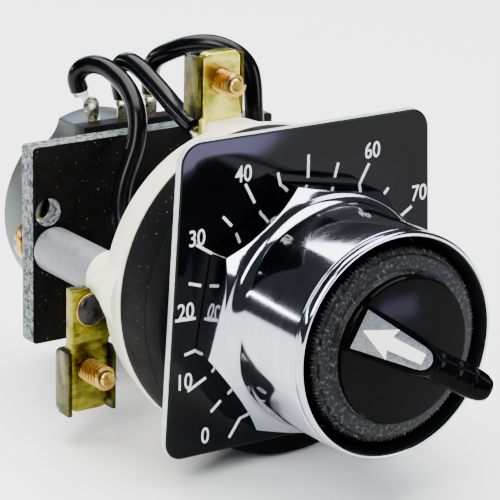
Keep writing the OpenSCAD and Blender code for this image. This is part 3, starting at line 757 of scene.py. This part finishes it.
# ---- screws and studs -----------------------------------------------------------------------
def machine_screw(name):
    """A slotted screw with a cut thread, in the place of a CAD screw."""
    low, high = span(name)
    x, z = (low.x + high.x) / 2, (low.z + high.z) / 2
    pitch, crest, root, head = 0.794, 1.75, 1.24, (high.x - low.x) / 2
    seat = high.y - 2
    shank = turned("shank", [
        (0, low.y), (0.9, low.y), (root - 0.1, low.y + 0.3), (root + 0.02, low.y + 0.6),
        (root + 0.02, seat), (head - 0.1, seat), (head, seat + 0.2), (head, high.y - 0.7),
        (head - 0.5, high.y - 0.15), (head - 1.2, high.y), (0, high.y)], (x, z), 48, 0.06)
    slot_y = high.y - 1
    slot = [(x - 5, slot_y, z - 0.42), (x + 5, slot_y, z - 0.42), (x + 5, slot_y, z + 0.42),
            (x - 5, slot_y, z + 0.42)]
    carve(shank, pressed("slot", slot, (0, 2, 0), 0))
    # The shank between the thread's ends takes the painted shade of the thread roots
    coat(shank, straw_chromate, painted_shade_thread_root,
         lambda face: low.y + 0.35 < face.center.y / MM < seat - 0.2)
    profile = [(root - 0.2, 0.2), (root, 0.2), (crest, 0.44), (crest, 0.56), (root, 0.8),
               (root - 0.2, 0.8), (root - 0.2, 0.2)]
    ridge = drawn("ridge", [(r, pitch * turns, 0) for r, turns in profile])
    seal(ridge)
    ridge.data.transform(Matrix.Translation((0, (low.y + 0.1) * MM, 0)))
    ridge.data.materials.append(straw_chromate)
    wound = ridge.modifiers.new("wound", "SCREW")
    wound.axis = "Y"
    wound.screw_offset = pitch * MM
    wound.iterations = int((seat - low.y - 0.9) / pitch)
    wound.steps = wound.render_steps = 32
    take(ridge)
    bpy.ops.object.modifier_apply(modifier=wound.name)
    ridge.data.transform(Matrix.Translation((x * MM, 0, z * MM)))
    edit(ridge)
    bpy.ops.mesh.remove_doubles(threshold=0.0005 * MM)
    bpy.ops.mesh.fill_holes(sides=8)
    seal(ridge, 0, 40)
    fit(joined(name + "_finished", [shank, ridge]), name)


for side in ("top", "left", "right"):
    machine_screw("clamp_screw_" + side)

STUD = (21.8, -3.5)
stud = turned("stud_heads", [
    (0, 19.15), (1.1, 19.2), (1.9, 19.45), (2.3, 19.85), (2.32, 20.1), (2.5, 20.12), (2.5, 20.38),
    (1.2, 20.4), (1.2, 22.1), (1.4, 22.1), (1.25, 22.55), (0, 22.6)], STUD, 40, 0.05)
coat(stud, black_oxide, straw_chromate, lambda face: place_of(face)[1] > 20.09)
studs = joined("studs_finished", [stud, copied(stud, MIRRORED)])
fit(studs, "stop_studs")

# ---- leads, lugs and solder -----------------------------------------------------------------
ROUTES = {
    "lead_left": [(-6.1, 50, 20.3), (-6.6, 50, 22.2), (-6.2, 49.3, 23.7), (-5.2, 47.8, 24.6),
                  (-4.4, 45.5, 24.6), (-4, 43, 23.9), (-3.8, 40.5, 22.8), (-4.1, 38, 21.4),
                  (-4.6, 36, 19.8), (-5.2, 34.7, 17.6), (-6.1, 33.9, 15.1), (-7.5, 33.2, 12.7),
                  (-9, 32.4, 10.3), (-10.3, 31.2, 7.9), (-11.2, 29.6, 5.6), (-11.6, 27.6, 3.2),
                  (-11.6, 25.6, 1), (-11.8, 24.2, -1.8)],
    "lead_centre": [(0, 47.4, 19), (-0.5, 47.4, 21), (-1.1, 46.9, 23), (-1.3, 45.6, 24.7),
                    (-1.1, 43.6, 25.4), (-0.8, 41.2, 24.9), (-0.6, 38.6, 23.8), (-0.5, 35.8, 22.6),
                    (-0.6, 33, 21.5), (-1, 30, 20.7), (-1.4, 27.4, 20.2), (-1.6, 24.8, 19.6)],
    "lead_right": [(5.1, 47.4, 19), (5, 47.4, 21), (4.5, 46.4, 23.2), (4.3, 44.6, 25.1),
                   (5.1, 42.2, 26.6), (6.5, 39.8, 27.8), (8.3, 37.5, 28.4), (10.2, 35.4, 28.1),
                   (11.9, 33.5, 26.9), (12.7, 32, 25.1), (12.7, 31, 22.9), (12.4, 30.2, 20.2),
                   (12.2, 29.4, 16.5), (12, 28.5, 12), (11.9, 27.5, 7), (11.8, 25.9, 2.5),
                   (11.8, 24.2, -1.8)],
}
LEAD = 1.45
for name, route in ROUTES.items():
    fit(tube(name + "_finished", smooth_line(route), LEAD, 7), name)
EYES = {"lug_left": (-5.6, 47.3, 18.4), "lug_centre": (0, 47.3, 18.5),
        "lug_right": (5.08, 47.3, 18.5)}
for (name, eye), route in zip(EYES.items(), ROUTES.values()):
    start, end = Vector(eye), Vector(route[0])
    run = end - start
    wires = []
    for strand in range(7):
        line = []
        for i in range(15):
            u = 0.05 + 0.95 * i / 14
            a = strand * math.tau / 7 + 4.5 * u
            swing = Vector((math.cos(a), 0.7 * math.sin(a), 0)) * (0.34 + 0.6 * u * u)
            line.append(start + run * u + swing)
        wires.append(tube("strand", line, 0.27, 2))
    # Solder fills the lead's cut end and thins down the strands to the lug's eye
    reaches = (-0.2, 0, 0.2, 0.4, 0.6, 0.8, 0.98)
    solder = tube("solder", [start + run * u for u in reaches], 0.46, 5)
    for reach, growth in ((0.5, 1.25), (0.7, 1.5), (0.9, 1.3)):
        edit(solder, lambda corner: (corner - start).dot(run) > reach * run.length_squared)
        bpy.ops.transform.resize(value=(growth, growth, 1), center_override=end * MM)
        close_edit()
    rounded = solder.modifiers.new("rounded", "SUBSURF")
    rounded.levels = rounded.render_levels = 2
    lumps = solder.modifiers.new("lumps", "DISPLACE")
    lumps.texture = bpy.data.textures.new("solder_lumps", "CLOUDS")
    lumps.texture.noise_scale = 0.8 * MM
    lumps.strength = 0.5 * MM
    take(solder)
    bpy.ops.object.modifier_apply(modifier=rounded.name)
    bpy.ops.object.modifier_apply(modifier=lumps.name)
    bpy.ops.object.shade_smooth()
    ahead = run.normalized()
    pale = tube(name.replace("lug", "inner_sleeve"), [end - ahead * 0.45, end + ahead * 0.1],
                1.3, 8)
    pale.data.materials.append(inner_sleeving)
    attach(pale, "base")
    fit(joined(name + "_finished", [refined(name, 0.08), solder, *wires]), name)

# ---- floor and light ------------------------------------------------------------------------
floor_level = cad_bounds[0][2] - 0.2 * MM
bpy.ops.object.select_all(action="DESELECT")
bpy.ops.mesh.primitive_plane_add(size=6, location=(0, 0, floor_level))
floor = bpy.context.object
floor.name = "floor"
floor.data.materials.append(
    finish("pale_matte_floor", ["F6F6F5", "F9F9F8"], (0.75, 0.85), 400, 8, 0.01))


def softbox(name, place, size, watts, tint="FFFFFF"):
    """A square soft light that looks at the object."""
    data = bpy.data.lights.new(name, "AREA")
    data.shape = "RECTANGLE"
    data.size, data.size_y = size
    data.energy = watts
    data.color = colour(tint)[:3]
    lamp = bpy.data.objects.new(name, data)
    bpy.context.scene.collection.objects.link(lamp)
    lamp.location = place
    lamp.rotation_euler = (-Vector(place)).to_track_quat("-Z", "Y").to_euler()


softbox("key_left", (-0.55, -0.3, 0.5), (0.25, 0.5), 8)
softbox("front_right", (0.5, -0.6, 0.35), (0.3, 0.5), 4)
softbox("overhead", (0.1, 0.2, 1.1), (1.2, 1.2), 64)
softbox("back_strip", (-0.52, 0.73, 0.185), (0.5, 0.03), 1.3)
softbox("back_blue", (0.25, 0.95, 0.5), (0.6, 0.22), 4, "C9CCF4")
softbox("low_card", (0.062, -0.12, -0.015), (0.026, 0.011), 0.03, "B9B6F0")
world = bpy.data.worlds.new("studio")
bpy.context.scene.world = world
world.use_nodes = True
surround = world.node_tree.nodes["Background"].inputs
surround["Color"].default_value = colour("B9BDC4")
surround["Strength"].default_value = 0.11
